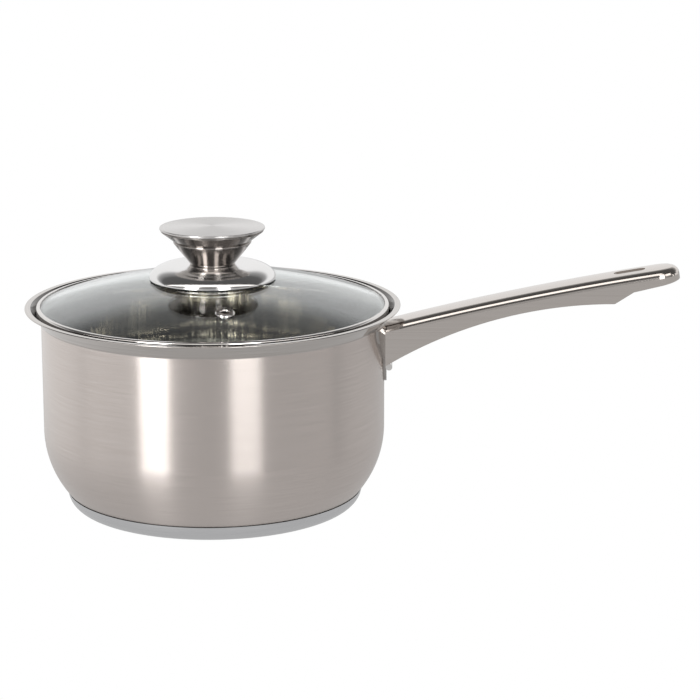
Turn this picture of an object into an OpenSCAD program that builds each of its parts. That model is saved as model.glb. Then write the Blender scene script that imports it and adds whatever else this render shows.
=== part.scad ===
// Small stainless steel saucepan with a bonded base, a hollow pressed handle
// and a framed glass lid with a steam vent and a hollow steel knob.
// The pan's axis is Z, its base stands on z = 0 and the handle points along +X.

/* [Pan] */
// Outer radius of the straight wall
wall_r = 88; // [80:0.5:106]
// Height of the brim's top above the surface the pan stands on
pan_h = 104.9; // [87:0.1:130]
// Thickness of the pan's steel sheet
sheet = 0.7; // [0.5:0.1:1]
// Width of the flat brim's underside
brim_w = 2.6; // [2:0.1:5]
// Height of the sloping flare under the brim
flare_h = 7.2; // [6:0.1:9]
// How far the flare steps out from the wall
flare_out = 5.6; // [4.6:0.1:7]
// Radius of the large curve at the foot of the wall
belly_r = 50; // [42:1:60]
// Height at which the wall becomes straight
belly_z = 41; // [34:0.5:50]
// Radius of the small corner between the belly and the floor
corner_r = 5.4; // [4:0.1:7]

/* [Base] */
// Height of the pan floor's underside
floor_z = 6.6; // [5.5:0.1:8]
// Thickness of the cap's steel sheet
cap_sheet = 0.5; // [0.4:0.1:0.8]
// Height of the seam where the cap ends against the pan
seam_z = 8.5; // [7.1:0.1:10.2]
// Width of the ledge that the cap leaves at the seam
seam_step = 0.4; // [0.2:0.1:1]
// How far the core's filling rises above the pan floor's underside
core_rise = 0.8; // [0.2:0.1:1]

/* [Handle] */
// Width across the handle's flat sides
handle_w = 22; // [18:0.5:27]
// Thickness of the handle's sheet
handle_t = 1.2; // [0.8:0.1:1.5]
// Distance from the pan's wall to the handle's tip
handle_len = 149.8; // [124:0.5:180]
// Radius of the crown across the handle's top
crown_r = 80; // [60:1:120]
// Radius of the shoulders between the crown and the flat sides
shoulder_r = 4; // [3:0.1:5]
// Radius of the long arch along the handle's top
arch_r = 1500; // [1200:10:1800]
// Slope of the crown where it comes out from under the brim, in degrees
root_slope = 14.2; // [12:0.1:17]
// How far the crown lies below the brim's top where it comes out from under it
root_drop = 6.7; // [5:0.1:9]
// Distance from the brim's edge to where the crown comes out from under it
root_gap = 1.9; // [1:0.1:4]
// Radius of the long hollow curve of the side walls' lower edges
underside_r = 222; // [185:1:266]
// Depth of the side walls where the lower edge runs level
wall_depth = 13.6; // [11.5:0.1:16.3]
// Distance from the tip to where the side walls are cut away
notch_back = 32.8; // [27.5:0.1:39]
// Length of the slope at which the side walls are cut away
notch_len = 9.5; // [8:0.1:12]
// Height of the slope at which the side walls are cut away
notch_rise = 6.1; // [5:0.1:7]
// Length of the hanging slot
slot_len = 16.1; // [13.4:0.1:19]
// Width of the hanging slot
slot_w = 6; // [5:0.1:7.2]
// Distance from the tip to the middle of the hanging slot
slot_back = 24.8; // [20.7:0.1:29]

/* [Weld plate and bracket] */
// Thickness of the plate that joins the handle to the wall
plate_t = 1.2; // [0.8:0.1:1.5]
// Half width of the plate at its top
plate_top_w = 27; // [22.5:0.5:32]
// Half width of the plate's tongue
tongue_w = 7.2; // [6:0.1:8.6]
// Height of the plate from the tongue's end to the top
plate_h = 32; // [27:0.5:38]
// Height of the plate's tongue up to where it widens
tongue_h = 6.2; // [5.2:0.1:7.4]
// Thickness of the bracket's sheet
bracket_t = 1.1; // [0.8:0.1:1.3]
// Length of the bracket's side flanges
flange_len = 20; // [16.7:0.1:24]
// Radius of the rolled foot of the bracket
foot_r = 1.7; // [1.4:0.1:2]

/* [Lid] */
// How far the lid's steel band stands outside the pan's wall
band_out = 2.4; // [1.5:0.1:3]
// Height of the lid's steel band
band_h = 4.85; // [4.5:0.05:5.8]
// Radius of the band's lower outer corner
band_round = 1.6; // [1.3:0.1:1.9]
// Thickness of the band's outer wall
band_t = 0.8; // [0.6:0.1:1]
// Thickness of the band's upper lip
lip_t = 0.5; // [0.4:0.1:0.6]
// Width of the band's upper lip
lip_w = 2.1; // [1.8:0.1:2.6]
// Radius of the glass dome's upper surface
dome_r = 268; // [224:1:321]
// Thickness of the glass
glass_t = 3.2; // [2.7:0.1:3.3]
// Gap between the lid's band and the pan's flare
lid_gap = 0.3; // [0.2:0.05:0.6]

/* [Steam vent] */
// Distance of the vent from the lid's axis
vent_out = 60.2; // [50:0.2:72]
// Direction of the vent around the lid, in degrees
vent_turn = -80.6; // [-180:0.1:180]
// Radius of the vent's open hole
vent_hole_r = 2; // [1.7:0.1:2.4]
// Radius of the eyelet's upper flange
vent_flange_r = 4.85; // [4.3:0.05:5.8]
// Thickness of the eyelet's tube
vent_tube_t = 0.6; // [0.5:0.1:0.7]
// Height of the eyelet's upper flange
vent_flange_h = 1; // [0.8:0.1:1.2]

/* [Knob plate] */
// Outer radius of the domed plate under the knob
dish_r = 32.5; // [27:0.5:39]
// Height of the domed plate
dish_h = 7.15; // [6:0.05:8.6]
// Radius of the plate's flat middle
dish_flat_r = 20; // [16.7:0.1:24]
// Thickness of the domed plate
dish_t = 0.8; // [0.6:0.1:1]
// Height of the seal under the plate's rim
seal_h = 0.55; // [0.4:0.05:0.8]
// Width of the seal under the plate's rim
seal_w = 1.6; // [1.3:0.1:2]

/* [Knob] */
// Radius of the knob's foot
stem_foot_r = 11.8; // [9.9:0.1:14]
// Radius at the top of the knob's lower cone
stem_top_r = 19.75; // [16.45:0.05:23.7]
// Height of the knob's lower cone
stem_h = 11; // [9.2:0.1:13.2]
// Thickness of the knob's steel sheet
knob_t = 1; // [0.8:0.1:1.2]
// Radius of the bead between the lower cone and the flare
bead_r = 0.5; // [0.4:0.1:0.6]
// Radius at the top of the knob's flare
knob_flare_r = 26.3; // [24.3:0.1:31]
// Height of the knob's flare above the bead
knob_flare_h = 6.1; // [5.1:0.1:7.3]
// Radius of the knob's cap
knob_cap_r = 26.9; // [26.8:0.1:32]
// Height of the cap's straight edge
cap_edge_h = 1; // [0.8:0.1:1.2]
// Height of the cap's crown above its edge
cap_crown_h = 0.6; // [0.4:0.1:0.8]
// Height of the groove under the cap
groove_h = 0.7; // [0.5:0.1:0.9]

/* [Knob screw] */
// Radius of the screw's shank
screw_r = 2.5; // [2:0.1:3]
// Length of the screw under its head
screw_len = 20; // [18:0.5:23]
// Radius of the screw's head
screw_head_r = 4.8; // [4.2:0.1:5.7]
// Height of the screw's head
screw_head_h = 3; // [2.5:0.1:3.6]
// Radius of the hole in the glass
glass_hole_r = 4.2; // [4:0.1:5]
// Running clearance around the screw
screw_gap = 0.1; // [0.05:0.05:0.2]
// Radius of the rubber grommet's flange
grommet_r = 9; // [7.5:0.1:10.8]
// Thickness of the rubber grommet's flange
grommet_t = 1.5; // [1.3:0.1:1.8]
// Radius of the steel washer
washer_r = 8; // [6.7:0.1:9.6]
// Thickness of the steel washer
washer_t = 1; // [0.8:0.1:1.2]
// Radius of the spring washer
spring_r = 4.7; // [4:0.1:5.6]
// Thickness of the spring washer
spring_t = 1.2; // [1:0.1:1.4]
// Thickness of the rubber seal on the glass
seal_t = 1; // [0.8:0.1:1.2]
// Outer radius of the spacer tube inside the domed plate
spacer_r = 5.5; // [4.6:0.1:6.6]
// Outer radius of the threaded boss inside the knob
boss_r = 5.5; // [4.6:0.1:6.6]
// Height of the threaded boss inside the knob
boss_h = 7; // [5.8:0.1:8.4]

/* [Hidden] */
$fn = 96;
// How far a cut runs past the faces that it opens
past = 1;
// Long enough to run through the whole object
through = 600;

// Pan: the flare and the brim
brim_under = pan_h - sheet;
crease_z = brim_under - flare_h;
flare_top_r = wall_r + flare_out;
brim_r = flare_top_r + brim_w;
flare_slant = sqrt(flare_out * flare_out + flare_h * flare_h);
// Radius of the flare's inner face at a height
function flare_inside(z) = wall_r + (z - crease_z) * flare_out / flare_h
                           - sheet * flare_slant / flare_h;
inner_crease_z = crease_z + sheet * (flare_slant - flare_h) / flare_out;
// Pan: the belly arc meets the corner arc, and the corner arc meets the flat floor
belly_x = wall_r - belly_r;
corner_z = floor_z + corner_r;
corner_x = belly_x + sqrt(pow(belly_r - corner_r, 2) - pow(belly_z - corner_z, 2));
join_angle = atan2(belly_z - corner_z, corner_x - belly_x);
join_z = belly_z - belly_r * sin(join_angle);
// Radius of the pan's outer face at a height under the straight wall
function belly_at(z) = z < join_z
    ? corner_x + sqrt(corner_r * corner_r - pow(corner_z - z, 2))
    : belly_x + sqrt(belly_r * belly_r - pow(belly_z - z, 2));

// Base
cap_r = belly_at(seam_z) + seam_step;
cap_x = cap_r - seam_z;

// Handle: the arch and the section
half_w = handle_w / 2;
tip_x = wall_r + handle_len;
root_x = brim_r + root_gap;
root_z = pan_h - root_drop;
arch_x = root_x + arch_r * sin(root_slope);
arch_z = root_z - arch_r * cos(root_slope);
end_x = tip_x - half_w;
end_slope = asin((arch_x - end_x) / arch_r);
end_z = arch_z + arch_r * cos(end_slope);
shoulder_y = half_w - shoulder_r;
shoulder_d = crown_r - sqrt(pow(crown_r - shoulder_r, 2) - shoulder_y * shoulder_y);
shoulder_angle = atan2(shoulder_y, crown_r - shoulder_d);
section_depth = 34;
// The arch runs on into the plate, over the whole depth of the section
plate_slope = asin((arch_x - wall_r + handle_t) / (arch_r - section_depth));
shoulder_steps = 6;
crown_steps = 8;
// Handle: the lower edges of the side walls
level_x = tip_x - notch_back;
// Height of the crown at a distance from the pan's axis
function crown_at(x) = arch_z + sqrt(arch_r * arch_r - pow(arch_x - x, 2));
level_z = crown_at(level_x) - wall_depth;
lip_x = level_x + notch_len;
lip_z = level_z + notch_rise;
lip_angle = 13.5;
lip_slope = tan(lip_angle);
slot_x = tip_x - slot_back;

// Weld plate and bracket
plate_r = wall_r + plate_t;
plate_gap = 0.3;
plate_top = crease_z - plate_gap;
plate_low = plate_top - plate_h;
// Height of the straight stretch at the top of the plate's sides
plate_straight = 1.4;
plate_steps = 20;
// How strongly the outline's points crowd towards the tongue's round end
tongue_crowding = 1.6;
// Half width of the plate at a height above its lowest point
function plate_half(h) = h < tongue_h
    ? tongue_w * sqrt(1 - pow((tongue_h - h) / tongue_h, 2))
    : tongue_w + (plate_top_w - tongue_w)
        * ease(min(1, (h - tongue_h) / (plate_h - tongue_h - plate_straight)));
function ease(t) = t * t * (3 - 2 * t);
inner_half = half_w - handle_t;
foot_up = 8.6;
foot_z = plate_low + foot_up;
// Distance of the rolled foot's middle from the plate
foot_off = 0.7 * foot_r;
foot_len = 2 * inner_half - 4;
// Heights above the foot of the flanges' lower edge, at the plate and at its end, and of its upper end
flange_root_up = 4;
flange_low_up = 16;
flange_high_up = 19;
// The web stops under the crown, where the shoulders' inner faces meet the plate
web_room = 1;
web_top = crown_at(plate_r) - shoulder_d - web_room;

// Lid: where the band sits in the flare, and the glass in the band
band_r = wall_r + band_out;
band_corner_x = band_r - band_round;
band_corner_z = crease_z + (band_corner_x - wall_r
    + (band_round + lid_gap + sheet) * flare_slant / flare_h) * flare_h / flare_out;
band_z = band_corner_z - band_round;
band_top = band_z + band_h;
top_round = 1.1;
lip_r = band_r - lip_w;
low_lip_out = 0.7;
low_lip_r = lip_r - low_lip_out;
glass_r = band_r - band_t;
dome_z = band_top - lip_t - sqrt(dome_r * dome_r - lip_r * lip_r);
// Height of the glass's upper and lower faces at a distance from the axis
function glass_top(r) = dome_z + sqrt(dome_r * dome_r - r * r);
function glass_low(r) = dome_z + sqrt(pow(dome_r - glass_t, 2) - r * r);
round_steps = 8;

// Steam vent
vent_tilt = asin(vent_out / dome_r);
vent_tube_r = vent_hole_r + vent_tube_t;
vent_gap = 0.3;
vent_glass_r = vent_tube_r + vent_gap;
vent_washer_in = 0.6;
vent_washer_r = vent_flange_r - vent_washer_in;
vent_washer_t = 0.6;
vent_roll_out = 0.9;
vent_roll_r = vent_tube_r + vent_roll_out;
vent_roll_t = 0.5;
// Room between the flat washer and the curved glass
vent_bed = 0.06;
vent_seat = glass_t + vent_bed;

// Knob plate
dish_z = glass_top(dish_r) + seal_h;
dish_top = dish_z + dish_h;
dish_steps = 14;
// Room between the curved glass and the seal's flat-cut lower face
seal_bed = 0.01;
// Height of an ellipse-shouldered dome's outline at a distance from the axis
function dome_at(r, rim_r, flat_r, h) = r < flat_r ? h
    : h * sqrt(max(0, 1 - pow((r - flat_r) / (rim_r - flat_r), 2)));

// Knob
stem_z = dish_top;
stem_top = stem_z + stem_h;
foot_round = 0.8;
stem_floor_t = 1.2;
bead_z = stem_top + bead_r;
flare_z = bead_z + bead_r;
flare_top = stem_top + knob_flare_h + bead_r;
groove_depth = 0.6;
groove_r = knob_flare_r - groove_depth;
cap_z = flare_top + groove_h;
cap_edge_z = cap_z + cap_edge_h;
cap_round = 0.4;
cap_round_turn = 80;
cap_steps = 7;

// Knob screw and what it clamps
hole_r = screw_r + screw_gap;
grommet_z = glass_low(grommet_r) - grommet_t;
washer_z = grommet_z - washer_t;
spring_z = washer_z - spring_t;
head_z = spring_z - screw_head_h;
upper_seal_w = 1.5;
upper_seal_z = glass_top(0);
spacer_z = upper_seal_z + seal_t;
spacer_h = dish_top - dish_t - spacer_z;
boss_z = stem_z + stem_floor_t;
spring_slit = 0.8;
drive_w = 1.2;
drive_len = 5.4;
drive_depth = 1.8;

// Points along an arc
function arc(c, r, from, to, n) =
    [for (i = [0:n]) c + r * [cos(from + (to - from) * i / n), sin(from + (to - from) * i / n)]];

// Part of a ring of a given wall, between two angles
module arc_band(c, r, t, from, to) {
    intersection() {
        translate(c) difference() {
            circle(r);
            circle(r - t);
        }
        polygon([c, c + 2 * r * [cos(from), sin(from)], c + 2 * r * [cos(to), sin(to)]]);
    }
}

module ring(r, hole, z, h) {
    translate([0, 0, z]) difference() {
        cylinder(r = r, h = h);
        translate([0, 0, -past]) cylinder(r = hole, h = h + 2 * past);
    }
}

// Everything inside the pan's outer face, up to the straight wall
module pan_outside() {
    translate([0, floor_z]) square([corner_x, belly_z - floor_z]);
    translate([corner_x, corner_z]) circle(corner_r);
    intersection() {
        translate([belly_x, belly_z]) circle(belly_r);
        polygon([[belly_x, belly_z], [belly_x + 2 * belly_r, belly_z],
                 [belly_x, belly_z] + 2 * belly_r * [cos(join_angle), -sin(join_angle)]]);
    }
}

// Everything inside the cap, at a given distance from its outer face
module cap_inside(t) {
    intersection() {
        union() {
            translate([0, t]) square([cap_x, seam_z - t]);
            translate([cap_x, seam_z]) circle(seam_z - t);
        }
        square([through, seam_z]);
    }
}

module pan_body() {
    color("silver") rotate_extrude() {
        translate([0, floor_z]) square([corner_x, sheet]);
        arc_band([corner_x, corner_z], corner_r, sheet, -90, -join_angle);
        arc_band([belly_x, belly_z], belly_r, sheet, -join_angle, 0);
        polygon([[wall_r, belly_z], [wall_r, crease_z], [flare_top_r, brim_under],
                 [brim_r, brim_under], [brim_r, pan_h], [flare_inside(pan_h), pan_h],
                 [wall_r - sheet, inner_crease_z], [wall_r - sheet, belly_z]]);
    }
}

module base_core() {
    color("lightgray") rotate_extrude() difference() {
        intersection() {
            cap_inside(cap_sheet);
            square([through, floor_z + core_rise]);
        }
        pan_outside();
    }
}

module base_cap() {
    color("gainsboro") rotate_extrude() difference() {
        cap_inside(0);
        cap_inside(cap_sheet);
        pan_outside();
    }
}

module handle_plate() {
    side = [for (i = [0:plate_steps]) plate_h * pow(i / plate_steps, tongue_crowding)];
    color("darkgray") intersection() {
        ring(plate_r, wall_r, plate_low - past, plate_h + 2 * past);
        translate([0, 0, plate_low]) rotate([90, 0, 90]) linear_extrude(through)
            polygon(concat([for (h = side) [plate_half(h), h]],
                           [for (i = [plate_steps:-1:1]) [-plate_half(side[i]), side[i]]]));
    }
}

// Half of the handle's outer outline, from the crown's middle down one side
function half_outline(inset, depth, n) = concat(
    arc([0, -crown_r], crown_r - inset, 90, 90 - shoulder_angle, n),
    arc([shoulder_y, -shoulder_d], shoulder_r - inset, 90 - shoulder_angle, 0, shoulder_steps),
    [[half_w - inset, -depth]]);

function flip(points) = [for (i = [len(points) - 1:-1:0]) points[i]];
function mirrored(points) = [for (i = [len(points) - 1:-1:1]) [-points[i][0], points[i][1]]];

// The handle's section, turned to be swept along the arch
module channel() {
    outer = half_outline(0, section_depth, crown_steps / 2);
    inner = half_outline(handle_t, section_depth, crown_steps / 2);
    outline = concat(mirrored(outer), outer, flip(concat(mirrored(inner), inner)));
    translate([arch_r, 0]) rotate(-90) polygon(outline);
}

module arched_channel() {
    translate([arch_x, 0, arch_z]) rotate([90, 0, 0]) rotate([0, 0, 90 + end_slope])
        rotate_extrude(angle = plate_slope - end_slope, $fn = through) channel();
}

// An outline in the XZ plane, right across the handle
module across(w) {
    translate([0, w / 2, 0]) rotate([90, 0, 0]) linear_extrude(w) children();
}

module handle_round_end() {
    translate([end_x, 0, end_z]) rotate([0, -end_slope, 0]) rotate([0, 0, -90])
        rotate_extrude(angle = 180)
            polygon(concat(half_outline(0, section_depth, crown_steps / 2),
                           flip(half_outline(handle_t, section_depth, crown_steps / 2))));
}

// What lies under the side walls' lower edges
module under_handle() {
    across(2 * handle_w) {
        translate([level_x, level_z - underside_r]) circle(underside_r, $fn = through);
        polygon([[level_x, level_z], [lip_x, lip_z], [lip_x + through, lip_z + through * lip_slope],
                 [lip_x + through, -through], [level_x, -through]]);
    }
}

module hanging_slot() {
    run = slot_len - slot_w;
    translate([slot_x, 0, crown_at(slot_x)]) rotate([0, -end_slope, 0])
        translate([0, 0, -section_depth / 2]) {
            for (side = [-1, 1])
                translate([side * run / 2, 0, 0]) cylinder(d = slot_w, h = section_depth);
            translate([-run / 2, -slot_w / 2, 0]) cube([run, slot_w, section_depth]);
        }
}

module handle_shell() {
    color("silver") difference() {
        union() {
            arched_channel();
            handle_round_end();
        }
        under_handle();
        cylinder(r = plate_r, h = through);
        hanging_slot();
    }
}

module handle_bracket() {
    color("gainsboro") {
        intersection() {
            ring(plate_r + bracket_t, plate_r, foot_z, web_top - foot_z);
            translate([0, -inner_half, 0]) cube([through, 2 * inner_half, through]);
        }
        difference() {
            for (side = [-1, 1])
                translate([0, side * (inner_half - bracket_t / 2), 0]) across(bracket_t)
                    polygon([[wall_r, foot_z + flange_root_up],
                             [plate_r + flange_len, foot_z + flange_low_up],
                             [plate_r + flange_len, foot_z + flange_high_up], [wall_r, web_top]]);
            cylinder(r = plate_r, h = through);
        }
        difference() {
            translate([plate_r + foot_off, 0, foot_z]) across(foot_len) circle(foot_r);
            cylinder(r = plate_r, h = through);
        }
    }
}

module glass_profile() {
    intersection() {
        translate([0, dome_z]) difference() {
            circle(dome_r, $fn = through);
            circle(dome_r - glass_t, $fn = through);
        }
        square([glass_r, through]);
    }
}

// Stands whatever it holds on the glass at the vent, square to the glass
module at_vent() {
    rotate([0, 0, vent_turn]) translate([0, 0, dome_z]) rotate([0, vent_tilt, 0])
        translate([0, 0, dome_r]) children();
}

module lid_glass() {
    color("lightcyan", 0.4) difference() {
        rotate_extrude() glass_profile();
        cylinder(r = glass_hole_r, h = through);
        at_vent() translate([0, 0, -2 * glass_t]) cylinder(r = vent_glass_r, h = 4 * glass_t);
    }
}

module lid_band() {
    color("silver") rotate_extrude() difference() {
        polygon(concat([[low_lip_r, band_z]],
                       arc([band_corner_x, band_corner_z], band_round, -90, 0, round_steps),
                       arc([band_r - top_round, band_top - top_round], top_round, 0, 90, round_steps),
                       [[lip_r, band_top], [lip_r, band_top - band_h / 2],
                        [low_lip_r, band_top - band_h / 2]]));
        glass_profile();
    }
}

module vent_eyelet() {
    color("silver") at_vent() rotate_extrude()
        polygon(concat([[vent_hole_r, -vent_seat - vent_washer_t - vent_roll_t],
                        [vent_roll_r, -vent_seat - vent_washer_t - vent_roll_t],
                        [vent_roll_r, -vent_seat - vent_washer_t],
                        [vent_tube_r, -vent_seat - vent_washer_t], [vent_tube_r, 0]],
                       [for (p = arc([0, 0], 1, 0, 90, round_steps))
                           [vent_flange_r - vent_flange_h * (1 - p[0]), vent_flange_h * p[1]]],
                       [for (p = arc([0, 0], 1, 90, 180, round_steps))
                           [vent_hole_r + vent_tube_t * (1 + p[0]), vent_flange_h * p[1]]]));
}

module vent_washer() {
    color("lightgray") at_vent()
        ring(vent_washer_r, vent_tube_r, -vent_seat - vent_washer_t, vent_washer_t);
}

module knob_plate() {
    rim = [for (i = [0:dish_steps]) dish_flat_r + (dish_r - dish_flat_r) * sin(90 * i / dish_steps)];
    inner_rim = dish_r - dish_t;
    inner = [for (i = [dish_steps:-1:0])
                dish_flat_r + (inner_rim - dish_flat_r) * sin(90 * i / dish_steps)];
    color("silver") rotate_extrude()
        polygon(concat([[hole_r, dish_top]],
                       [for (r = rim) [r, dish_z + dome_at(r, dish_r, dish_flat_r, dish_h)]],
                       [for (r = inner) [r, dish_z + dome_at(r, inner_rim, dish_flat_r, dish_h - dish_t)]],
                       [[hole_r, dish_top - dish_t]]));
}

module plate_seal() {
    outer = dish_r - dish_t / 2;
    inner = outer - seal_w;
    color("dimgray") rotate_extrude()
        polygon([[inner, glass_top(inner) + seal_bed], [outer, glass_top(outer) + seal_bed],
                 [outer, dish_z], [inner, dish_z]]);
}

module upper_seal() {
    color("dimgray") ring(spacer_r + upper_seal_w, hole_r, upper_seal_z, seal_t);
}

module spacer_tube() {
    color("lightgray") ring(spacer_r, hole_r, spacer_z, spacer_h);
}

module screw_grommet() {
    color("dimgray") {
        ring(grommet_r, hole_r, grommet_z, grommet_t);
        ring(glass_hole_r - screw_gap, hole_r, grommet_z, upper_seal_z - grommet_z);
    }
}

module flat_washer() {
    color("silver") ring(washer_r, hole_r, washer_z, washer_t);
}

module spring_washer() {
    color("gray") difference() {
        ring(spring_r, hole_r, spring_z, spring_t);
        translate([0, -spring_slit / 2, spring_z - past])
            cube([spring_r + past, spring_slit, spring_t + 2 * past]);
    }
}

module knob_screw() {
    color("gray") difference() {
        union() {
            translate([0, 0, spring_z]) cylinder(r = screw_r, h = screw_len);
            translate([0, 0, head_z]) cylinder(r = screw_head_r, h = screw_head_h);
        }
        for (turn = [0, 90])
            rotate([0, 0, turn]) translate([-drive_len / 2, -drive_w / 2, head_z - past])
                cube([drive_len, drive_w, drive_depth + past]);
    }
}

module knob_stem() {
    lean = (stem_top_r - stem_foot_r) / (stem_h - foot_round);
    color("silver") rotate_extrude()
        polygon(concat([[hole_r, stem_z]],
                       arc([stem_foot_r - foot_round, stem_z + foot_round], foot_round,
                           -90, 0, round_steps / 2),
                       [[stem_top_r, stem_top], [stem_top_r - knob_t, stem_top],
                        [stem_foot_r - knob_t + lean * (stem_floor_t - foot_round), stem_z + stem_floor_t],
                        [hole_r, stem_z + stem_floor_t]]));
}

module knob_flare() {
    color("dimgray") rotate_extrude()
        polygon(concat([[stem_top_r - 2 * bead_r, stem_top]],
                       arc([stem_top_r - bead_r / 2, bead_z], bead_r, -90, 90, round_steps),
                       [[knob_flare_r, flare_top - groove_h / 2], [knob_flare_r, flare_top],
                        [groove_r, flare_top], [groove_r, cap_z], [groove_r - knob_t, cap_z],
                        [groove_r - knob_t, flare_top - groove_h],
                        [stem_top_r - 2 * bead_r, flare_z]]));
}

module knob_cap() {
    color("silver") rotate_extrude()
        polygon(concat([[0, cap_z], [knob_cap_r, cap_z]],
                       arc([knob_cap_r - cap_round, cap_edge_z - cap_round], cap_round,
                           0, cap_round_turn, round_steps / 2),
                       [for (i = [cap_steps - 1:-1:0])
                           [i / cap_steps * knob_cap_r,
                            cap_edge_z + cap_crown_h * (1 - pow(i / cap_steps, 2))]]));
}

module knob_boss() {
    color("gray") ring(boss_r, screw_r + screw_gap / 2, boss_z, boss_h);
}

pan_body();
base_core();
base_cap();
handle_plate();
handle_shell();
handle_bracket();
lid_glass();
lid_band();
vent_eyelet();
vent_washer();
knob_plate();
plate_seal();
upper_seal();
spacer_tube();
screw_grommet();
flat_washer();
spring_washer();
knob_screw();
knob_stem();
knob_flare();
knob_cap();
knob_boss();
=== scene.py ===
"""A stainless steel saucepan with a bonded base, a hollow pressed handle and a framed glass lid.

Lengths are in metres, in the same frame as the design: +Z up the pan's axis, +X along the handle.
"""

import math

import bpy
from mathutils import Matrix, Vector


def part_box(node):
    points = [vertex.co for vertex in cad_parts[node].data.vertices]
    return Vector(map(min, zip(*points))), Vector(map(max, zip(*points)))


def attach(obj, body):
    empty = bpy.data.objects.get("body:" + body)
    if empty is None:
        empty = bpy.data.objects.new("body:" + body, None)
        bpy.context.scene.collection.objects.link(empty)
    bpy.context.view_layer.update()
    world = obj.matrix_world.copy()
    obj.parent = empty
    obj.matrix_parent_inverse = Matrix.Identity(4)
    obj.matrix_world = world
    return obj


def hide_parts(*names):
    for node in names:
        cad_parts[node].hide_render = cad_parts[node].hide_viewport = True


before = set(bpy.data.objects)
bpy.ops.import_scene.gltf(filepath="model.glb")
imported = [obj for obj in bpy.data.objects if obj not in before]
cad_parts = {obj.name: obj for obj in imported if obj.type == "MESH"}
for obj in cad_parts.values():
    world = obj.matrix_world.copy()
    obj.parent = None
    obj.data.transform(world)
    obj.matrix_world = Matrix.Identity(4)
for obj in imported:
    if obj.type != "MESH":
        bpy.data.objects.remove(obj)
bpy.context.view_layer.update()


# ---- Pan shell -----------------------------------------------------------------------------
# The drawn pot: flat floor, rounded belly, straight wall, a sloping flare and a flat brim.
# One sheet of stainless steel, satin brushed round the outside and polished within and at the
# brim. Reflections are painted round the inside as bright and dark dashes, and shade is painted
# inside the flare where the lid's band covers it. Its outline is drawn as lines and arcs and spun
# round the axis.

MM = 0.001
AXIS = (0, 0, 1)
CORNER = math.radians(30)
DOUBLED = 0.002 * MM
EDGE_STEPS = 2


def start_at(name, across, up):
    """Starts a piece as a single point, ready to be drawn on."""
    bpy.ops.object.select_all(action="DESELECT")
    bpy.ops.mesh.primitive_plane_add(size=MM, location=(0, 0, 0))
    piece = bpy.context.object
    piece.name = name
    piece.data.name = name
    bpy.ops.object.mode_set(mode="EDIT")
    bpy.ops.mesh.select_mode(type="VERT")
    bpy.ops.mesh.select_all(action="SELECT")
    bpy.ops.mesh.merge(type="CENTER")
    bpy.ops.transform.translate(value=(across, 0, up))
    return piece


def pen():
    """Where the drawn line has got to."""
    bpy.context.object.update_from_editmode()
    return next(v.co.copy() for v in bpy.context.object.data.vertices if v.select)


def draw_to(*points):
    """Draws straight lines through (distance from the axis, height) points."""
    for across, up in points:
        step = Vector((across, 0, up)) - pen()
        bpy.ops.mesh.extrude_vertices_move(TRANSFORM_OT_translate={"value": step})


def bend(across, up, degrees, steps):
    """Draws an arc round a centre, anticlockwise with the axis on the left."""
    bpy.ops.mesh.spin(
        steps=steps, angle=math.radians(degrees), center=(across, 0, up), axis=(0, 1, 0)
    )


def spin_round(steps):
    """Spins the drawn outline right round the axis, closes it, turns every face outwards and
    smooths all but its corners."""
    bpy.ops.mesh.select_all(action="SELECT")
    bpy.ops.mesh.spin(steps=steps, angle=math.tau, center=(0, 0, 0), axis=AXIS)
    bpy.ops.mesh.select_all(action="SELECT")
    bpy.ops.mesh.remove_doubles(threshold=DOUBLED)
    bpy.ops.mesh.normals_make_consistent(inside=False)
    bpy.ops.object.mode_set(mode="OBJECT")
    bpy.ops.object.shade_smooth_by_angle(angle=CORNER)


def soften(piece, width, angle=25):
    """Rounds off every edge that is sharper than an angle in degrees."""
    bpy.context.view_layer.objects.active = piece
    edge = piece.modifiers.new("edge", "BEVEL")
    edge.width = width
    edge.segments = EDGE_STEPS
    edge.limit_method = "ANGLE"
    edge.angle_limit = math.radians(angle)
    edge.use_clamp_overlap = True
    bpy.ops.object.modifier_apply(modifier="edge")
    even = piece.modifiers.new("even", "WEIGHTED_NORMAL")
    even.keep_sharp = True
    bpy.ops.object.modifier_apply(modifier="even")


def material(name, colour, metallic, roughness, anisotropic=0.0, grain_turn=0.0):
    """A new finish. What is the same all over the surface goes on the shader's own sockets."""
    finish = bpy.data.materials.new(name)
    finish.use_nodes = True
    shader = finish.node_tree.nodes["Principled BSDF"]
    shader.inputs["Base Color"].default_value = (*colour, 1)
    shader.inputs["Metallic"].default_value = metallic
    shader.inputs["Roughness"].default_value = roughness
    shader.inputs["Anisotropic"].default_value = anisotropic
    shader.inputs["Anisotropic Rotation"].default_value = grain_turn
    return finish


def add(tree, kind, values=(), **settings):
    """Adds a node to a material or a group, with its settings and its sockets' values."""
    node = tree.nodes.new(kind)
    for name, value in settings.items():
        setattr(node, name, value)
    for name, value in dict(values).items():
        node.inputs[name].default_value = value
    return node


def feed(tree, socket, value):
    """Links a socket to another, or sets it to a number or a colour."""
    if isinstance(value, bpy.types.NodeSocket):
        tree.links.new(value, socket)
    else:
        socket.default_value = value


def calculate(tree, operation, *values):
    """Does a sum on sockets or numbers."""
    node = add(tree, "ShaderNodeMath", operation=operation)
    for socket, value in zip(node.inputs, values):
        feed(tree, socket, value)
    return node.outputs[0]


def mix_colours(tree, share, *colours):
    """Mixes two colours by a share of the second."""
    node = add(tree, "ShaderNodeMix", data_type="RGBA")
    feed(tree, next(socket for socket in node.inputs if socket.type == "VALUE"), share)
    for socket, colour in zip([s for s in node.inputs if s.type == "RGBA"], colours):
        feed(tree, socket, colour)
    return next(socket for socket in node.outputs if socket.type == "RGBA")


def object_point(tree):
    """The place on the piece that is being shaded."""
    return add(tree, "ShaderNodeTexCoord").outputs["Object"]


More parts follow.
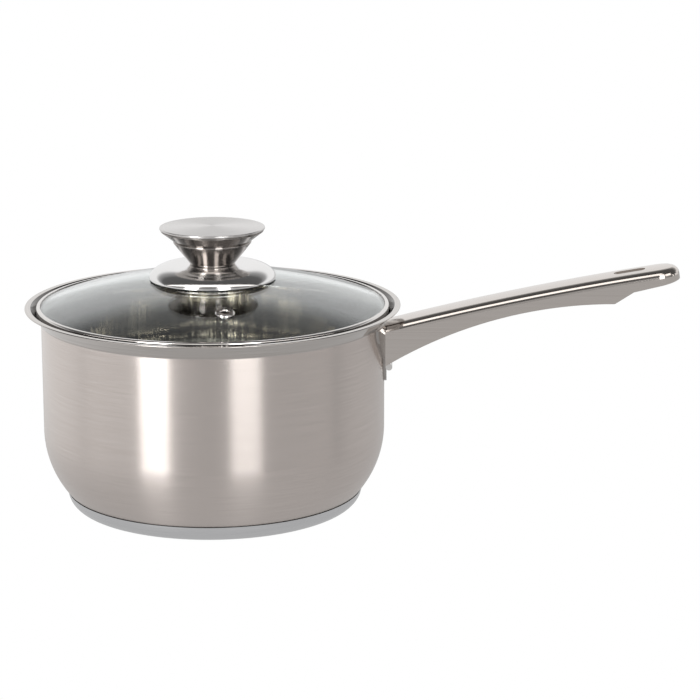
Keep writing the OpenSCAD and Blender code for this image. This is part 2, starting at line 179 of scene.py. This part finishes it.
def group_for(name, inputs, outputs):
    """An empty shader node group with named inputs and outputs."""
    tree = bpy.data.node_groups.new(name, "ShaderNodeTree")
    for way, sockets in (("INPUT", inputs), ("OUTPUT", outputs)):
        for socket, kind in sockets:
            tree.interface.new_socket(socket, in_out=way, socket_type=kind)
    return tree, add(tree, "NodeGroupInput").outputs, add(tree, "NodeGroupOutput").inputs


# Coordinates that follow a turned surface: slow round the axis, quick along the outline
around_axis, given, wanted = group_for(
    "around_axis",
    [("Point", "NodeSocketVector"), ("Round", "NodeSocketFloat"), ("Along", "NodeSocketFloat")],
    [("Vector", "NodeSocketVector")],
)
NEVER_ZERO = 1e-9
split = add(around_axis, "ShaderNodeSeparateXYZ")
feed(around_axis, split.inputs[0], given["Point"])
out_x, out_y, height = split.outputs
square = calculate(
    around_axis, "ADD",
    calculate(around_axis, "MULTIPLY", out_x, out_x),
    calculate(around_axis, "MULTIPLY", out_y, out_y),
)
radius = calculate(around_axis, "SQRT", calculate(around_axis, "ADD", square, NEVER_ZERO))
profile = calculate(around_axis, "ADD", radius, height)
join_up = add(around_axis, "ShaderNodeCombineXYZ")
for socket, length, scale in (
    (join_up.inputs[0], calculate(around_axis, "DIVIDE", out_x, radius), given["Round"]),
    (join_up.inputs[1], calculate(around_axis, "DIVIDE", out_y, radius), given["Round"]),
    (join_up.inputs[2], profile, given["Along"]),
):
    feed(around_axis, socket, calculate(around_axis, "MULTIPLY", length, scale))
feed(around_axis, wanted["Vector"], join_up.outputs[0])

# Marks left by brushing and polishing: a tone from dull to bright, and their height
brush_marks, given, wanted = group_for(
    "brush_marks",
    [("Vector", "NodeSocketVector"), ("Contrast", "NodeSocketFloat")],
    [("Tone", "NodeSocketFloat"), ("Height", "NodeSocketFloat")],
)
MIDDLE_TONE = 0.5
fine = add(
    brush_marks, "ShaderNodeTexNoise", {"Scale": 1.0, "Detail": 3.0, "Roughness": 0.65},
    noise_dimensions="3D",
)
feed(brush_marks, fine.inputs["Vector"], given["Vector"])
spread = calculate(brush_marks, "SUBTRACT", fine.outputs["Fac"], MIDDLE_TONE)
widened = calculate(brush_marks, "MULTIPLY", spread, given["Contrast"])
feed(brush_marks, wanted["Tone"], calculate(brush_marks, "ADD", widened, MIDDLE_TONE))
feed(brush_marks, wanted["Height"], fine.outputs["Fac"])

# Handling marks: faint wide clouds of dullness over polished steel and glass
handling, given, wanted = group_for(
    "handling",
    [("Point", "NodeSocketVector"), ("Clean", "NodeSocketFloat"), ("Dull", "NodeSocketFloat")],
    [("Roughness", "NodeSocketFloat")],
)
cloud = add(
    handling, "ShaderNodeTexNoise", {"Scale": 26.0, "Detail": 1.0}, noise_dimensions="3D"
)
reach = add(handling, "ShaderNodeMapRange", {"From Min": 0.25, "From Max": 0.75})
feed(handling, cloud.inputs["Vector"], given["Point"])
feed(handling, reach.inputs["Value"], cloud.outputs["Fac"])
feed(handling, reach.inputs["To Min"], given["Clean"])
feed(handling, reach.inputs["To Max"], given["Dull"])
feed(handling, wanted["Roughness"], reach.outputs["Result"])


def place_group(tree, group, linked, **values):
    """Places a shared group in a material, with this finish's own links and values."""
    node = add(tree, "ShaderNodeGroup", values, node_tree=group)
    for name, socket in linked.items():
        feed(tree, node.inputs[name], socket)
    return node


QUARTER_TURN = 0.25
HANDLE_RAKE = math.radians(12)


def steel(name, dull, bright, clean, worn, marks, anisotropic=0.0, relief=0.0, turned=True):
    """Steel, or another metal, with its brush marks. dull and bright are the marks' colours,
    clean and worn the roughness between handling marks and in them. marks is (round, along,
    contrast) round the axis, or (across, along, contrast) on a straight piece, and relief is
    the marks' height."""
    slow, quick, contrast = marks
    finish = material(name, bright, 1.0, clean, anisotropic, QUARTER_TURN if turned else 0.0)
    tree = finish.node_tree
    shader = tree.nodes["Principled BSDF"]
    point = object_point(tree)
    if turned:
        grain = place_group(tree, around_axis, {"Point": point}, Round=slow, Along=quick)
    else:
        grain = add(
            tree, "ShaderNodeMapping",
            {"Rotation": (0, HANDLE_RAKE, 0), "Scale": (slow, quick, quick)}, vector_type="POINT",
        )
        feed(tree, grain.inputs["Vector"], point)
    if anisotropic:
        round_grain = add(tree, "ShaderNodeTangent", direction_type="RADIAL", axis="Z")
        feed(tree, shader.inputs["Tangent"], round_grain.outputs[0])
    brushed = place_group(
        tree, brush_marks, {"Vector": grain.outputs["Vector"]}, Contrast=contrast
    )
    colour = mix_colours(tree, brushed.outputs["Tone"], (*dull, 1), (*bright, 1))
    feed(tree, shader.inputs["Base Color"], colour)
    if worn > clean:
        wear = place_group(tree, handling, {"Point": point}, Clean=clean, Dull=worn)
        feed(tree, shader.inputs["Roughness"], wear.outputs["Roughness"])
    if relief:
        bump = add(tree, "ShaderNodeBump", {"Strength": 1.0, "Distance": relief})
        feed(tree, bump.inputs["Height"], brushed.outputs["Height"])
        feed(tree, shader.inputs["Normal"], bump.outputs[0])
    return finish


def wear_finish(piece, *finishes):
    """Gives a piece its finishes, in slot order."""
    piece.data.materials.clear()
    for finish in finishes:
        piece.data.materials.append(finish)


def finish_nodes(finish, *names):
    """Gives one finish to parts of the design that show as they are."""
    for name in names:
        wear_finish(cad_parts[name], finish)


def settle(piece, body, slot, *nodes):
    """Makes a finished piece ride on its body and stand for its nodes."""
    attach(piece, body)
    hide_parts(*nodes)


pan_low, pan_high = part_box("pan_body")
sheet = 0.7 * MM
brim_width = 2.6 * MM
brim_edge = 0.3 * MM
flare_out = 5.6 * MM
flare_rise = 7.2 * MM
belly_radius = 50 * MM
belly_height = 41 * MM
belly_steps = 24
corner_radius = 5.4 * MM
corner_steps = 8
pan_steps = 192
floor_under = pan_low.z
pan_top = pan_high.z
brim_radius = pan_high.x
flare_radius = brim_radius - brim_width
wall_radius = flare_radius - flare_out
brim_under = pan_top - sheet
crease = brim_under - flare_rise
flare_slant = math.hypot(flare_out, flare_rise)
inner_wall = wall_radius - sheet
inner_crease = crease + sheet * (flare_slant - flare_rise) / flare_out
sheet_across = sheet * flare_slant / flare_rise
inner_brim = wall_radius + (pan_top - crease) * flare_out / flare_rise - sheet_across
belly_across = wall_radius - belly_radius
corner_height = floor_under + corner_radius
corner_across = belly_across + math.sqrt(
    (belly_radius - corner_radius) ** 2 - (belly_height - corner_height) ** 2
)
belly_turn = math.degrees(math.atan2(belly_height - corner_height, corner_across - belly_across))
corner_turn = 90 - belly_turn

pan_shell = start_at("pan_shell", 0, floor_under)
draw_to((corner_across, floor_under))
bend(corner_across, corner_height, corner_turn, corner_steps)
bend(belly_across, belly_height, belly_turn, belly_steps)
draw_to((wall_radius, crease), (flare_radius, brim_under), (brim_radius, brim_under))
draw_to((brim_radius, pan_top), (inner_brim, pan_top), (inner_wall, inner_crease))
draw_to((inner_wall, belly_height))
bend(belly_across, belly_height, -belly_turn, belly_steps)
bend(corner_across, corner_height, -corner_turn, corner_steps)
draw_to((0, floor_under + sheet))
spin_round(pan_steps)
soften(pan_shell, brim_edge)

satin_steel = steel(
    "satin_steel", dull=(0.57, 0.51, 0.475), bright=(0.74, 0.68, 0.645),
    clean=0.27, worn=0.27, marks=(3.0, 3200.0, 1.0), anisotropic=0.95,
)
polished_steel = steel(
    "polished_steel", dull=(0.46, 0.43, 0.41), bright=(0.66, 0.63, 0.60),
    clean=0.08, worn=0.14, marks=(2.0, 1600.0, 1.0), anisotropic=0.4,
)
# Painted reflections: bright cream and dark dashes, set mostly by the angle round the axis, stand
# in for reflections on the inside; the ripples of its relief are real bumps
inner_painted_reflections = steel(
    "inner_painted_reflections", dull=(0.22, 0.21, 0.20), bright=(1.0, 0.95, 0.87),
    clean=0.04, worn=0.08, marks=(11.0, 9.0, 3.4), relief=0.25 * MM,
)
floor_steel = steel(
    "floor_steel", dull=(0.42, 0.40, 0.385), bright=(0.64, 0.62, 0.60),
    clean=0.16, worn=0.22, marks=(2.0, 2600.0, 1.0), anisotropic=0.7,
)
# Painted shade: a near black finish for the flare's inside, standing in for the shade under the
# lid's band
painted_shade_flare = steel(
    "painted_shade_flare", dull=(0.07, 0.066, 0.062), bright=(0.15, 0.14, 0.135),
    clean=0.10, worn=0.16, marks=(2.0, 1600.0, 1.0),
)
wear_finish(pan_shell, satin_steel, polished_steel, inner_painted_reflections, floor_steel, painted_shade_flare)
# The other finishes' slots; every face starts in slot 0, the satin wall outside. The flare's
# inside takes the painted shade.
BRIM, INSIDE, FLOOR, FLARE_INSIDE = 1, 2, 3, 4
floor_level = floor_under + 2 * sheet
faces_in = -0.5
faces_up = 0.5
lies_flat = 0.7
for face in pan_shell.data.polygons:
    middle = face.center
    outward = face.normal.dot(Vector((middle.x, middle.y, 0)).normalized())
    # The flare's inside gets the painted shade finish
    if middle.z > inner_crease and outward < faces_in:
        face.material_index = FLARE_INSIDE
    elif middle.z > crease:
        face.material_index = BRIM
    elif middle.z < floor_level and face.normal.z > lies_flat:
        face.material_index = FLOOR
    # The rest of the inside gets the painted reflections
    elif outward < 0 or face.normal.z > faces_up:
        face.material_index = INSIDE
settle(pan_shell, "pan", "pan_steel", "pan_body")


# ---- Base ----------------------------------------------------------------------------------
# An aluminium disc bonded under the floor to spread the heat, sealed in a pressed steel cap
# with a round edge. The cap is satin steel and the disc shows only as a thin seam; the disc and
# the cap's ledge over it are painted near black as the seam's shadow.

cap_sheet = 0.5 * MM
seam_height = 8.5 * MM
base_turn_steps = 14
base_steps = 160
base_edge = 0.12 * MM
base_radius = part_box("base_cap")[1].x
cap_across = base_radius - seam_height

base_shell = start_at("base_shell", 0, 0)
draw_to((cap_across, 0))
bend(cap_across, seam_height, 90, base_turn_steps)
draw_to((base_radius - cap_sheet, seam_height))
bend(cap_across, seam_height, -90, base_turn_steps)
draw_to((0, cap_sheet))
spin_round(base_steps)
soften(base_shell, base_edge)
base_satin = steel(
    "base_satin", dull=(0.60, 0.60, 0.61), bright=(0.80, 0.80, 0.81),
    clean=0.24, worn=0.24, marks=(2.0, 2400.0, 1.0), anisotropic=0.5,
)
# Painted shadow: a near black finish for the seam between the cap and the disc
painted_seam_shadow = steel(
    "painted_seam_shadow", dull=(0.02, 0.02, 0.02), bright=(0.05, 0.05, 0.05),
    clean=0.5, worn=0.6, marks=(40.0, 200.0, 1.0),
)
wear_finish(base_shell, base_satin, painted_seam_shadow)
SEAM = 1
# The cap's top ledge, where the seam is, gets the painted shadow
for face in base_shell.data.polygons:
    if face.center.z > seam_height - cap_sheet / 2:
        face.material_index = SEAM
settle(base_shell, "pan", "base_steel", "base_cap")
finish_nodes(painted_seam_shadow, "base_core")


# ---- Handle --------------------------------------------------------------------------------
# A hollow channel pressed from one strip of steel and polished lengthwise, with an arched crown,
# a closed tip and a hanging slot. A plate spot welded to the wall carries it, and a bracket
# inside ties the two and shows its rolled foot below.

handle_steel = steel(
    "handle_steel", dull=(0.56, 0.51, 0.475), bright=(0.70, 0.655, 0.62),
    clean=0.07, worn=0.12, marks=(9.0, 1500.0, 0.8), turned=False,
)
plate_steel = steel(
    "plate_steel", dull=(0.34, 0.32, 0.305), bright=(0.48, 0.455, 0.435),
    clean=0.12, worn=0.20, marks=(2.0, 1200.0, 0.6),
)
bracket_steel = steel(
    "bracket_steel", dull=(0.72, 0.70, 0.68), bright=(0.90, 0.88, 0.86),
    clean=0.10, worn=0.18, marks=(6.0, 1200.0, 0.6), turned=False,
)
finish_nodes(handle_steel, "handle_shell")
finish_nodes(plate_steel, "handle_plate")
finish_nodes(bracket_steel, "handle_bracket")


# ---- Lid band ------------------------------------------------------------------------------
# The frame that grips the glass and sits in the pan's flare. One strip of polished stainless
# steel, rolled into a ring and closed over the glass's edge.

band_low, band_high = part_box("lid_band")
band_radius = band_high.x
band_round = 1.6 * MM
band_top_round = 1.1 * MM
band_turn_steps = 8
band_steps = 192
band_edge = 0.12 * MM
lip_radius = band_radius - 2.1 * MM
low_lip_radius = lip_radius - 0.7 * MM
band_half = (band_low.z + band_high.z) / 2

band_ring = start_at("band_ring", low_lip_radius, band_low.z)
draw_to((band_radius - band_round, band_low.z))
bend(band_radius - band_round, band_low.z + band_round, 90, band_turn_steps)
draw_to((band_radius, band_high.z - band_top_round))
bend(band_radius - band_top_round, band_high.z - band_top_round, 90, band_turn_steps)
draw_to((lip_radius, band_high.z), (lip_radius, band_half), (low_lip_radius, band_half))
draw_to((low_lip_radius, band_low.z))
spin_round(band_steps)
soften(band_ring, band_edge)
band_steel = steel(
    "band_steel", dull=(0.62, 0.59, 0.57), bright=(0.78, 0.76, 0.74),
    clean=0.06, worn=0.12, marks=(2.0, 700.0, 0.5),
)
wear_finish(band_ring, band_steel)
settle(band_ring, "lid", "band_steel", "lid_band")


# ---- Lid glass -----------------------------------------------------------------------------
# A shallow dome of tempered soda-lime glass, faintly blue-green. It is bored for the screw and
# the vent before it is tempered, and the band holds it by its edge.

lid_clear = material("lid_clear", (0.93, 0.975, 0.97), metallic=0.0, roughness=0.0)
tree = lid_clear.node_tree
shader = tree.nodes["Principled BSDF"]
shader.inputs["Transmission Weight"].default_value = 1.0
shader.inputs["IOR"].default_value = 1.5
film = place_group(tree, handling, {"Point": object_point(tree)}, Clean=0.0, Dull=0.03)
feed(tree, shader.inputs["Roughness"], film.outputs["Roughness"])
finish_nodes(lid_clear, "lid_glass")


# ---- Steam vent ----------------------------------------------------------------------------
# A small opening that lets steam out of the lid. A drawn steel eyelet goes through the glass
# and is rolled over a washer underneath.

finish_nodes(band_steel, "vent_eyelet", "vent_washer")


# ---- Knob plate ----------------------------------------------------------------------------
# A bright domed plate that hides the fixing in the glass. It is pressed from sheet steel and
# chromium plated, and the knob's screw clamps it down on a rubber ring.

plate_low, plate_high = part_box("knob_plate")
plate_sheet = 0.8 * MM
plate_flat = 20 * MM
plate_inside = plate_high.z - plate_sheet
dome_steps = 18
plate_steps = 160
plate_edge = 0.12 * MM
plate_edge_angle = 50
screw_hole = 2.6 * MM


def dome_points(rim, high):
    """Points down an elliptical shoulder from its flat top to its rim."""
    for step in range(dome_steps + 1):
        turn = math.pi / 2 * step / dome_steps
        across = plate_flat + (rim - plate_flat) * math.sin(turn)
        yield across, plate_low.z + (high - plate_low.z) * math.cos(turn)


knob_dish = start_at("knob_dish", screw_hole, plate_high.z)
draw_to(*dome_points(plate_high.x, plate_high.z))
draw_to(*reversed(list(dome_points(plate_high.x - plate_sheet, plate_inside))))
draw_to((screw_hole, plate_inside), (screw_hole, plate_high.z))
spin_round(plate_steps)
soften(knob_dish, plate_edge, angle=plate_edge_angle)
plate_chrome = steel(
    "plate_chrome", dull=(0.74, 0.73, 0.72), bright=(0.84, 0.83, 0.825),
    clean=0.14, worn=0.14, marks=(2.0, 1500.0, 0.5),
)
wear_finish(knob_dish, plate_chrome)
settle(knob_dish, "lid", "knob_plate_chrome", "knob_plate")


# ---- Knob ----------------------------------------------------------------------------------
# A hollow spun knob: a cone that widens upwards, a bead, a flare and a satin cap let into it.
# The cone and flare are polished and the cap is brushed round.

stem_low, stem_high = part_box("knob_stem")
knob_steps = 128
knob_sheet = 1.0 * MM
stem_edge = 0.1 * MM
foot_radius = 11.8 * MM
foot_round = 0.8 * MM
foot_steps = 6
stem_floor = 1.2 * MM
lean = (stem_high.x - foot_radius) / (stem_high.z - stem_low.z - foot_round)
inner_foot = foot_radius - knob_sheet + lean * (stem_floor - foot_round)

knob_cone = start_at("knob_cone", screw_hole, stem_low.z)
draw_to((foot_radius - foot_round, stem_low.z))
bend(foot_radius - foot_round, stem_low.z + foot_round, 90, foot_steps)
draw_to(stem_high.xz, (stem_high.x - knob_sheet, stem_high.z))
draw_to((inner_foot, stem_low.z + stem_floor))
draw_to((screw_hole, stem_low.z + stem_floor), (screw_hole, stem_low.z))
spin_round(knob_steps)
soften(knob_cone, stem_edge)

flare_low, flare_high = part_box("knob_flare")
bead = 0.5 * MM
bead_steps = 12
flare_edge = 0.08 * MM
groove = 0.7 * MM
groove_in = 0.6 * MM
bead_across = stem_high.x - bead / 2
flare_under = flare_high.z - groove
groove_across = flare_high.x - groove_in
flare_inside = groove_across - knob_sheet

knob_flare = start_at("knob_flare_ring", bead_across - bead, flare_low.z)
draw_to((bead_across, flare_low.z))
bend(bead_across, flare_low.z + bead, 180, bead_steps)
draw_to((flare_high.x, flare_under - groove / 2), (flare_high.x, flare_under))
draw_to((groove_across, flare_under), (groove_across, flare_high.z))
draw_to((flare_inside, flare_high.z), (flare_inside, flare_under - groove))
draw_to((bead_across - bead, flare_low.z + 2 * bead), (bead_across - bead, flare_low.z))
spin_round(knob_steps)
soften(knob_flare, flare_edge)

disc_low, disc_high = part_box("knob_cap")
disc_side = 1.0 * MM
disc_round = 0.4 * MM
disc_turn = 80
disc_turn_steps = 6
disc_rings = 10
disc_edge = 0.1 * MM
disc_edge_angle = 40
disc_rim = disc_low.z + disc_side

knob_top = start_at("knob_top", 0, disc_low.z)
draw_to((disc_high.x, disc_low.z), (disc_high.x, disc_rim - disc_round))
bend(disc_high.x - disc_round, disc_rim - disc_round, disc_turn, disc_turn_steps)
for ring in range(disc_rings - 1, 0, -1):
    share = ring / disc_rings
    draw_to((share * disc_high.x, disc_rim + (disc_high.z - disc_rim) * (1 - share ** 2)))
draw_to((0, disc_high.z))
spin_round(knob_steps)
soften(knob_top, disc_edge, angle=disc_edge_angle)

dark_chrome = steel(
    "dark_chrome", dull=(0.30, 0.28, 0.265), bright=(0.50, 0.47, 0.45),
    clean=0.08, worn=0.13, marks=(2.0, 2600.0, 1.2), anisotropic=0.5,
)
cap_satin = steel(
    "cap_satin", dull=(0.54, 0.52, 0.51), bright=(0.70, 0.685, 0.675),
    clean=0.27, worn=0.27, marks=(2.0, 3200.0, 0.9), anisotropic=0.6,
)
wear_finish(knob_cone, dark_chrome)
wear_finish(knob_flare, dark_chrome)
wear_finish(knob_top, cap_satin)
settle(knob_cone, "lid", "knob_chrome", "knob_stem")
settle(knob_flare, "lid", "knob_chrome", "knob_flare")
settle(knob_top, "lid", "knob_cap_steel", "knob_cap")


# ---- Knob fixing ---------------------------------------------------------------------------
# A zinc-plated screw driven from below, its washers, spacer and boss, and the rubber seals
# that keep steel off the glass.

zinc_plate = steel(
    "zinc_plate", dull=(0.42, 0.42, 0.41), bright=(0.60, 0.60, 0.58),
    clean=0.28, worn=0.4, marks=(30.0, 300.0, 0.8),
)
finish_nodes(
    zinc_plate, "spacer_tube", "flat_washer", "spring_washer", "knob_screw", "knob_boss"
)

rubber = material("rubber", (0.012, 0.012, 0.013), metallic=0.0, roughness=0.62)
tree = rubber.node_tree
shader = tree.nodes["Principled BSDF"]
skin = add(tree, "ShaderNodeTexNoise", {"Scale": 1800.0, "Detail": 3.0})
bloom = add(tree, "ShaderNodeMapRange", {"To Min": 0.5, "To Max": 0.75})
pimple = add(tree, "ShaderNodeBump", {"Distance": 0.05 * MM})
feed(tree, skin.inputs["Vector"], object_point(tree))
feed(tree, bloom.inputs["Value"], skin.outputs["Fac"])
feed(tree, shader.inputs["Roughness"], bloom.outputs["Result"])
feed(tree, pimple.inputs["Height"], skin.outputs["Fac"])
feed(tree, shader.inputs["Normal"], pimple.outputs[0])
finish_nodes(rubber, "plate_seal", "upper_seal", "screw_grommet")


# ---- Studio --------------------------------------------------------------------------------
# A plain pale floor, two tall soft boxes before the pan, and a room that is bright low down
# behind the pan and dark overhead, with one long strip light over the camera.

floor_size = 30
floor_drop = 0.02 * MM
bpy.ops.object.select_all(action="DESELECT")
bpy.ops.mesh.primitive_plane_add(size=floor_size, location=(0, 0, -floor_drop))
ground = bpy.context.object
ground.name = "ground"

# The floor itself looks white, and steel mirrors it as grey, darker to the right
pale = bpy.data.materials.new("pale_floor")
pale.use_nodes = True
tree = pale.node_tree
side = add(tree, "ShaderNodeSeparateXYZ")
fall = add(
    tree, "ShaderNodeMapRange",
    {"From Min": -0.30, "From Max": -0.02, "To Min": 0.88, "To Max": 0.55},
    interpolation_type="SMOOTHSTEP",
)
brightness = add(tree, "ShaderNodeMapRange", {"To Max": 1.0})
glow = add(tree, "ShaderNodeEmission")
feed(tree, side.inputs[0], object_point(tree))
feed(tree, fall.inputs["Value"], side.outputs["X"])
feed(tree, brightness.inputs["Value"], add(tree, "ShaderNodeLightPath").outputs["Is Camera Ray"])
feed(tree, brightness.inputs["To Min"], fall.outputs["Result"])
feed(tree, glow.inputs["Strength"], brightness.outputs["Result"])
feed(tree, tree.nodes["Material Output"].inputs["Surface"], glow.outputs[0])
wear_finish(ground, pale)

room = bpy.data.worlds.new("room")
room.use_nodes = True
bpy.context.scene.world = room
tree = room.node_tree
facing = add(tree, "ShaderNodeSeparateXYZ")
feed(tree, facing.inputs[0], add(tree, "ShaderNodeTexCoord").outputs["Generated"])
# Half a turn from the back wall (0) over the ceiling (0.5) to the camera's side (1)
angle = calculate(tree, "ARCTAN2", facing.outputs["Z"], facing.outputs["Y"])
over = calculate(tree, "DIVIDE", angle, math.pi)
shades = (
    (0.0, 0.95), (0.15, 1.0), (0.20, 0.40), (0.30, 0.12),
    (0.66, 0.08), (0.84, 0.12), (0.97, 0.42),
)
walls = add(tree, "ShaderNodeValToRGB")
stops = walls.color_ramp.elements
while len(stops) < len(shades):
    stops.new(1.0)
for stop, (place, shade) in zip(stops, shades):
    stop.position = place
    stop.color = (shade, shade, shade, 1)
feed(tree, walls.inputs["Fac"], over)
strip_from = 0.665
strip_to = 0.79
strip_light = (1.9, 1.85, 1.8, 1)
strip = calculate(
    tree, "MULTIPLY",
    calculate(tree, "GREATER_THAN", over, strip_from),
    calculate(tree, "LESS_THAN", over, strip_to),
)
lit = mix_colours(tree, strip, walls.outputs["Color"], strip_light)
feed(tree, tree.nodes["Background"].inputs["Color"], lit)

box_distance = 1.8
box_height = 1.8
box_lift = 0.03


def soft_box(name, azimuth, width, power):
    """A tall soft box on the camera's side, facing the pan."""
    lamp = bpy.data.lights.new(name, "AREA")
    lamp.shape = "RECTANGLE"
    lamp.size = width
    lamp.size_y = box_height
    lamp.energy = power
    box = bpy.data.objects.new(name, lamp)
    bpy.context.scene.collection.objects.link(box)
    turn = math.radians(azimuth)
    place = Vector((math.sin(turn), -math.cos(turn), 0)) * box_distance
    box.location = place + Vector((0, 0, box_height / 2 + box_lift))
    box.rotation_euler = (math.pi / 2, 0, turn)
    box.visible_camera = False


soft_box("left_box", azimuth=-34.9, width=0.60, power=25.0)
soft_box("right_box", azimuth=24.0, width=0.615, power=14.2)

bpy.context.scene.view_settings.view_transform = "Standard"

lens = bpy.data.cameras.new("camera")
lens.lens = 129.5
lens.sensor_width = 36
camera = bpy.data.objects.new("camera", lens)
bpy.context.scene.collection.objects.link(camera)
camera.location = (0.0882, -1.2609, 0.3871)
camera.rotation_euler = (math.radians(76.333), 0, math.radians(0.814))
bpy.context.scene.camera = camera
